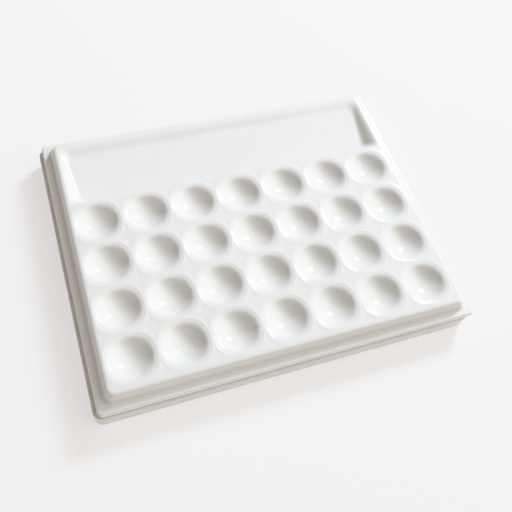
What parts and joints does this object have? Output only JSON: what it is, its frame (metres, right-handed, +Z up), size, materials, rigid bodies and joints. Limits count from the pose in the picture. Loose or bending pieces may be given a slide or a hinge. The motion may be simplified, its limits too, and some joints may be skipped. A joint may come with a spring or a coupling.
{
  "type": "mixing palette with cover",
  "caption": "Rectangular white porcelain mixing palette with round paint wells and one long mixing trough, standing on its own upturned cover.",
  "frame": {"origin": "centre of the object's box, on the surface that it stands on", "axes": "+Z up, +X along the rows of wells, +Y from the wells towards the mixing trough"},
  "size_m": [0.2266, 0.1824, 0.0224],
  "materials": {
    "palette_glaze": "glossy clear glaze over a white body",
    "cover_glaze": "glossy clear glaze over a white body"
  },
  "bodies": {
    "base_cover": {"cover": "cover_glaze"},
    "paint_palette": {"palette": "palette_glaze"}
  },
  "joints": [
    {"name": "palette_lift", "type": "slide", "parent": "base_cover", "child": "paint_palette", "axis": [0, 0, 1], "range_m": [0, 0.06]}
  ]
}
